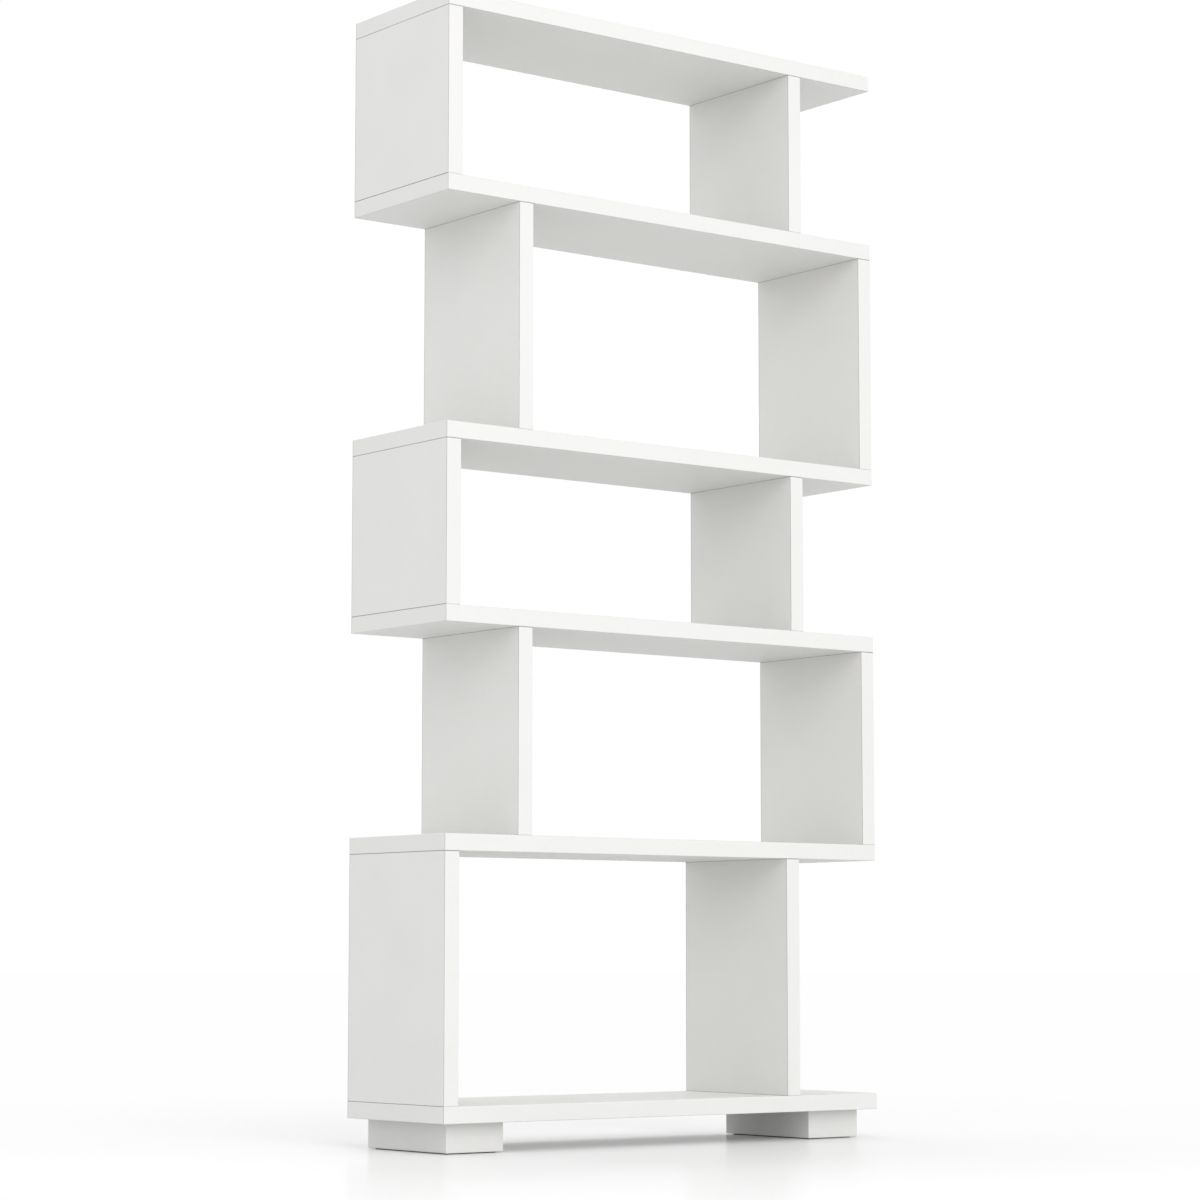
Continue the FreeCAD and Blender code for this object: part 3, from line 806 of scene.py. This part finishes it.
def felt_tree():
    """Let a pad's cut edge waver and set loose fibres on it, all between the floor and the foot."""
    tree = new_geometry_tree("Felt", {
        "Finish": "Material", "Waver": "Float", "Waver size": "Float", "Hairs per square metre": "Float",
        "Hair length": "Float", "Floor": "Float", "Ceiling": "Float", "Seed": "Int"})
    given = tree.node("NodeGroupInput")
    normal = tree.node("GeometryNodeInputNormal")[0]
    place = tree.node("GeometryNodeInputPosition")[0]
    side = abs(tree.parts(normal)[2]) < CUT_SIDE
    ripple = tree.node("ShaderNodeTexNoise", {
        "Vector": place, "Scale": 1 / given["Waver size"], "Detail": 2.0})["Fac"]
    waver = tree.node("ShaderNodeVectorMath", {
        0: normal, "Scale": (ripple - 1) * given["Waver"]}, operation="SCALE")[0]
    felt = tree.node("GeometryNodeSetPosition", {
        "Geometry": given["Piece"], "Selection": side, "Offset": waver})[0]
    spots = tree.node("GeometryNodeDistributePointsOnFaces", {
        "Mesh": felt, "Selection": side, "Density": given["Hairs per square metre"], "Seed": given["Seed"]})
    strand = tree.node("GeometryNodeCurvePrimitiveBezierSegment", {
        "Resolution": FIBRE_STEPS, **FIBRE_CURVE}, mode="POSITION")[0]
    section = tree.node("GeometryNodeCurvePrimitiveCircle", {
        "Resolution": FIBRE_SIDES, "Radius": FIBRE_RADIUS})[0]
    hair = tree.node("GeometryNodeCurveToMesh", {
        "Curve": strand, "Profile Curve": section, "Fill Caps": True})[0]
    # A Random Value node takes its limits for vectors in sockets 0 and 1, and for numbers in 2 and 3
    lean = tree.node("FunctionNodeRandomValue", {
        0: (-FIBRE_LEAN, -FIBRE_LEAN, -HALF_TURN), 1: (FIBRE_LEAN, FIBRE_LEAN, HALF_TURN),
        "Seed": given["Seed"]}, data_type="FLOAT_VECTOR")[0]
    lean = tree.node("FunctionNodeEulerToRotation", {0: lean})[0]
    lean = tree.node("FunctionNodeRotateRotation", {
        "Rotation": spots["Rotation"], "Rotate By": lean}, rotation_space="LOCAL")[0]
    size = tree.node("FunctionNodeRandomValue", {
        2: SHORTEST_FIBRE, 3: 1.0, "Seed": given["Seed"]})[1]
    hairs = tree.node("GeometryNodeInstanceOnPoints", {
        "Points": spots["Points"], "Instance": hair, "Rotation": lean,
        "Scale": size * given["Hair length"]})[0]
    both = tree.node("GeometryNodeJoinGeometry")
    for one in (felt, hairs):
        tree.tree.links.new(one.socket, both.node.inputs[0])
    real = tree.node("GeometryNodeRealizeInstances", {"Geometry": both[0]})[0]
    across, along, up = tree.parts(place)
    up = tree.math("MINIMUM", tree.math("MAXIMUM", up, given["Floor"]), given["Ceiling"])
    spot = tree.node("ShaderNodeCombineXYZ", {"X": across, "Y": along, "Z": up})[0]
    kept = tree.node("GeometryNodeSetPosition", {"Geometry": real, "Position": spot})[0]
    return end_geometry_tree(tree, kept, given["Finish"])


# One operator for each piece or group of like pieces

class BOOKSHELF_OT_boards(bpy.types.Operator):
    """Dress the shelves and uprights in melamine and their edges in plastic bands"""

    bl_idname = "bookshelf.boards"
    bl_label = "Boards and edge bands"

    def execute(self, context):
        look = context.scene.bookshelf_finishes
        uprights = [node for node in nodes_of("white_melamine_board") if "upright" in node]
        bottoms, tops = (sorted({round(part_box(node)[side].z, MICRON_DIGITS) for node in uprights})
                         for side in (0, 1))
        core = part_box("top_shelf")[1]
        boards = {True: melamine_board(look, "X", core, "Y", bottoms + tops),
                  False: melamine_board(look, "Z", core, "XY")}
        bands = {True: edge_band(look, "Z", core, tops), False: edge_band(look, "XY", core)}
        for node in nodes_of("white_melamine_board"):
            dress(node, boards["upright" in node])
        for node in nodes_of("white_edge_band"):
            dress(node, bands["upright" in node])
        return {"FINISHED"}


class BOOKSHELF_OT_feet(bpy.types.Operator):
    """Copy the block feet without the faces of no area at their rounded corners, and paint them"""

    bl_idname = "bookshelf.feet"
    bl_label = "Block feet"

    def execute(self, context):
        paint = foot_paint(context.scene.bookshelf_finishes)
        for node in nodes_of("white_foot"):
            piece = new_piece(node.replace("foot", "block_foot"), joined(node))
            piece.data.attributes.remove(piece.data.attributes["custom_normal"])
            smooth(piece.data)
            piece.modifiers.new("flat sides", "WEIGHTED_NORMAL").keep_sharp = True
            settle(piece)
            piece.data.materials.append(paint)
            seat(piece, node)
        return {"FINISHED"}


class BOOKSHELF_OT_pads(bpy.types.Operator):
    """Model the felt pads under the feet, with wavering cut edges and loose fibres"""

    bl_idname = "bookshelf.pads"
    bl_label = "Felt pads"

    def execute(self, context):
        sizes = context.scene.bookshelf_fittings
        wool = wool_felt(context.scene.bookshelf_finishes)
        tree = felt_tree()
        for seed, node in enumerate(nodes_of("felt")):
            low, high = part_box(node)
            shape = rounded_sheet((low + high) / 2, (high - low) / 2, sizes.felt_corner, sizes.felt_cell)
            piece = new_piece(node.replace("foot_pad", "felt_pad"), shape)
            solid = piece.modifiers.new("thickness", "SOLIDIFY")
            solid.thickness = high.z - low.z
            solid.offset = 0
            easing = piece.modifiers.new("easing", "BEVEL")
            easing.width = sizes.felt_easing
            easing.segments = 3
            add_nodes(piece, tree, {
                "Finish": wool, "Waver": sizes.felt_waver, "Waver size": WAVER_CELLS * sizes.felt_cell,
                "Hairs per square metre": sizes.felt_hairs / SQUARE_CENTIMETRE,
                "Hair length": sizes.felt_hair, "Floor": low.z, "Ceiling": high.z, "Seed": seed})
            settle(piece)
            smooth(piece.data)
            seat(piece, node)
        return {"FINISHED"}


class BOOKSHELF_OT_caps(bpy.types.Operator):
    """Mould the cover caps of the cam locks, dished inside a flat rim"""

    bl_idname = "bookshelf.caps"
    bl_label = "Cover caps"

    def execute(self, context):
        sizes = context.scene.bookshelf_fittings
        plastic = cap_plastic(context.scene.bookshelf_finishes)
        for node in nodes_of("white_cap"):
            boxes = solids(node)
            low, high = boxes[0]
            back = low.x - high.x
            rim = (high.y - low.y) / 2
            dish = rim - sizes.cap_rim
            stem = sizes.cap_stem / 2
            easing = sizes.cap_easing
            eased = easing * (1 - math.sqrt(0.5))
            blank = lathe([
                (0, back),
                (stem, back),
                (stem, -sizes.cap_thickness),
                (rim, -sizes.cap_thickness),
                (rim, -easing),
                (rim - eased, -eased),
                (rim - easing, 0),
                (dish, 0),
                (dish - sizes.cap_dish, -sizes.cap_dish / 2),
                (dish - 3 * sizes.cap_dish, -sizes.cap_dish),
                (0, -sizes.cap_dish),
            ], CAP_SIDES)
            places = [((high.x, *((low + high) / 2).yz), (0, QUARTER_TURN, 0)) for low, high in boxes]
            piece = make_set(node.replace("cam_caps", "cover_caps"), blank, places, plastic)
            seat(piece, node)
        return {"FINISHED"}


class BOOKSHELF_OT_bolts(bpy.types.Operator):
    """Turn the bolts of the cam locks, with their threads"""

    bl_idname = "bookshelf.bolts"
    bl_label = "Cam bolts"

    def execute(self, context):
        sizes = context.scene.bookshelf_fittings
        steel = plated_steel(context.scene.bookshelf_finishes)
        for node in nodes_of("plated_steel"):
            if node == SCREWS:
                continue
            boxes = solids(node)
            low, high = boxes[0]
            head = (high.y - low.y) / 2
            thread = sizes.bolt_thread / 2
            tip = -sizes.bolt_thread_length
            top = high.z - low.z + tip
            under = top - sizes.bolt_head_length
            shoulder = under - sizes.bolt_neck_length
            shank, neck = sizes.bolt_shank / 2, sizes.bolt_neck / 2
            chamfer = sizes.bolt_chamfer
            blank = lathe([
                (0, tip),
                (thread - chamfer, tip),
                *rows(thread, tip + chamfer, 0, sizes.bolt_pitch / ROWS_PER_TURN),
                (shank, 0),
                (shank, shoulder - chamfer),
                (shank - chamfer, shoulder),
                (neck, shoulder),
                (neck, under),
                (head - chamfer / 2, under),
                (head, under + chamfer / 2),
                (head, top - chamfer),
                (head - chamfer, top),
                (0, top),
            ], STEEL_SIDES)
            middle = sum(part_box(node), Vector()) / 2
            places = []
            for low, high in boxes:
                upper = low.z > middle.z
                across, along, _ = (low + high) / 2
                collar = high.z + tip if upper else low.z - tip
                places.append(((across, along, collar), (HALF_TURN if upper else 0, 0, 0)))
            piece = make_set(node.replace("cam_bolts", "threaded_bolts"), blank, places, steel, {
                "Grooves per metre": 1 / sizes.bolt_pitch, "Grooves round": 1.0,
                "Groove depth": sizes.bolt_groove, "Groove start": tip, "Groove end": -chamfer,
                "Run out": sizes.bolt_pitch / 2})
            seat(piece, node)
        return {"FINISHED"}


class BOOKSHELF_OT_locks(bpy.types.Operator):
    """Give the cam locks their cast zinc"""

    bl_idname = "bookshelf.locks"
    bl_label = "Cam locks"

    def execute(self, context):
        zinc = cast_zinc(context.scene.bookshelf_finishes)
        for node in nodes_of("cast_zinc"):
            dress(node, zinc)
        return {"FINISHED"}


class BOOKSHELF_OT_dowels(bpy.types.Operator):
    """Turn the wooden dowels, with glue flutes"""

    bl_idname = "bookshelf.dowels"
    bl_label = "Dowels"

    def execute(self, context):
        sizes = context.scene.bookshelf_fittings
        beech = beech_wood(context.scene.bookshelf_finishes)
        for node in nodes_of("beech"):
            boxes = solids(node)
            low, high = boxes[0]
            radius = (high.y - low.y) / 2
            top = high.z - low.z
            chamfer = sizes.dowel_chamfer
            blank = lathe([
                (0, 0),
                (radius - chamfer, 0),
                *rows(radius, chamfer, top - chamfer, chamfer),
                (radius - chamfer, top),
                (0, top),
            ], SIDES_PER_FLUTE * sizes.dowel_flutes)
            piece = make_set(node.replace("dowels", "fluted_dowels"), blank, standing(boxes), beech, {
                "Grooves round": float(sizes.dowel_flutes), "Groove depth": sizes.flute_depth,
                "Groove start": 0.0, "Groove end": top, "Run out": 2 * chamfer})
            seat(piece, node)
        return {"FINISHED"}


class BOOKSHELF_OT_screws(bpy.types.Operator):
    """Turn the countersunk foot screws, with their threads and cross recesses"""

    bl_idname = "bookshelf.screws"
    bl_label = "Foot screws"

    def execute(self, context):
        sizes = context.scene.bookshelf_fittings
        steel = bpy.data.materials.get("plated_steel") or plated_steel(context.scene.bookshelf_finishes)
        boxes = solids(SCREWS)
        low, high = boxes[0]
        head = (high.y - low.y) / 2
        shank = sizes.screw_shank / 2
        top = high.z - low.z
        point_start = top - sizes.screw_tip
        blank = lathe([
            (0, 0),
            (head, 0),
            (shank, head - shank),
            *rows(shank, sizes.screw_plain, point_start, sizes.screw_pitch / ROWS_PER_TURN),
            (shank / 2, (point_start + top) / 2),
            (0, top),
        ], STEEL_SIDES)
        depth = sizes.recess_depth
        blank = cut_out(blank, cross_cutter(sizes.recess_span, sizes.recess_width, depth, start=-depth))
        piece = make_set("threaded_foot_screws", blank, standing(boxes), steel, {
            "Grooves per metre": 1 / sizes.screw_pitch, "Grooves round": 1.0,
            "Groove depth": sizes.screw_groove, "Groove start": sizes.screw_plain, "Groove end": top,
            "Run out": sizes.screw_pitch})
        seat(piece, SCREWS)
        return {"FINISHED"}


def floor_surface(studio):
    """A matt white floor with a faint soft mirror, which fades into the backdrop far away."""
    surface = Surface("studio_floor")
    white = (*studio.floor_white, 1)
    matt = surface.node("ShaderNodeBsdfDiffuse", {"Color": white})[0]
    mirror = surface.node("ShaderNodeBsdfGlossy", {
        "Color": white, "Roughness": studio.floor_blur})[0]
    near = surface.node("ShaderNodeMixShader", {0: studio.floor_gloss, 1: matt, 2: mirror})[0]
    far = surface.node("ShaderNodeEmission", {"Strength": studio.floor_glow})[0]
    across, along, _ = surface.parts(surface.place)
    distance = surface.math("SQRT", across * across + along * along)
    fade = surface.ramp(distance, studio.floor_near, studio.floor_far)
    return surface.end(surface.node("ShaderNodeMixShader", {0: fade, 1: near, 2: far})[0])


def soft_light(scene, name, place, size, power):
    """A large square light that faces the middle of the bookshelf."""
    lamp = bpy.data.lights.new(name, "AREA")
    lamp.shape = "SQUARE"
    lamp.size = size
    lamp.energy = power
    light = bpy.data.objects.new(name, lamp)
    light.location = place
    aim = sum(CAD_BOX, Vector()) / 2 - light.location
    light.rotation_euler = aim.to_track_quat("-Z", "Y").to_euler()
    light.visible_camera = False
    scene.collection.objects.link(light)


class BOOKSHELF_OT_studio(bpy.types.Operator):
    """Set a pale floor, soft light and a camera round the bookshelf"""

    bl_idname = "bookshelf.studio"
    bl_label = "Studio"

    def execute(self, context):
        scene = context.scene
        studio = scene.bookshelf_studio
        scene.view_settings.view_transform = "Standard"
        shape = bmesh.new()
        bmesh.ops.create_circle(shape, cap_ends=True, radius=studio.floor_reach, segments=FLOOR_SIDES)
        floor = new_piece("studio_floor", shape)
        floor.data.materials.append(floor_surface(studio))

        world = bpy.data.worlds.new("studio_backdrop")
        world.use_nodes = True
        sky = world.node_tree.nodes["Background"].inputs
        sky["Color"].default_value = (1, 1, 1, 1)
        sky["Strength"].default_value = studio.backdrop
        scene.world = world

        for side in ("key", "back", "front"):
            place, size, power = (getattr(studio, f"{side}_{what}") for what in ("place", "size", "power"))
            soft_light(scene, f"studio_{side}", place, size, power)

        lens = bpy.data.cameras.new("studio_camera")
        lens.lens = studio.camera_lens
        lens.sensor_width = SENSOR_MM
        camera = bpy.data.objects.new("studio_camera", lens)
        camera.location = studio.camera_place
        camera.rotation_euler = (QUARTER_TURN + studio.camera_lift, 0, -studio.camera_turn)
        scene.collection.objects.link(camera)
        scene.camera = camera
        return {"FINISHED"}


class BOOKSHELF_PT_build(bpy.types.Panel):
    """Lists the steps that dress the bookshelf and what a user may change in them"""

    bl_idname = "BOOKSHELF_PT_build"
    bl_label = "Zigzag bookshelf"
    bl_space_type = "VIEW_3D"
    bl_region_type = "UI"
    bl_category = "Bookshelf"

    def draw(self, context):
        for step in STEPS:
            self.layout.operator(step.bl_idname)
        for settings in SETTINGS:
            group = getattr(context.scene, settings)
            for name in group.bl_rna.properties.keys():
                if name not in ("rna_type", "name"):
                    self.layout.prop(group, name)


SETTINGS = {
    "bookshelf_finishes": BookshelfFinishes,
    "bookshelf_fittings": BookshelfFittings,
    "bookshelf_studio": BookshelfStudio,
}
STEPS = [
    BOOKSHELF_OT_boards,
    BOOKSHELF_OT_feet,
    BOOKSHELF_OT_pads,
    BOOKSHELF_OT_caps,
    BOOKSHELF_OT_bolts,
    BOOKSHELF_OT_locks,
    BOOKSHELF_OT_dowels,
    BOOKSHELF_OT_screws,
    BOOKSHELF_OT_studio,
]
CLASSES = [*SETTINGS.values(), *STEPS, BOOKSHELF_PT_build]


def register():
    for item in CLASSES:
        bpy.utils.register_class(item)
    for name, group in SETTINGS.items():
        setattr(bpy.types.Scene, name, bpy.props.PointerProperty(type=group))


def unregister():
    for name in SETTINGS:
        delattr(bpy.types.Scene, name)
    for item in reversed(CLASSES):
        bpy.utils.unregister_class(item)


def main():
    register()
    bpy.ops.bookshelf.boards()
    bpy.ops.bookshelf.feet()
    bpy.ops.bookshelf.pads()
    bpy.ops.bookshelf.caps()
    bpy.ops.bookshelf.bolts()
    bpy.ops.bookshelf.locks()
    bpy.ops.bookshelf.dowels()
    bpy.ops.bookshelf.screws()
    bpy.ops.bookshelf.studio()


if __name__ == "__main__":
    main()
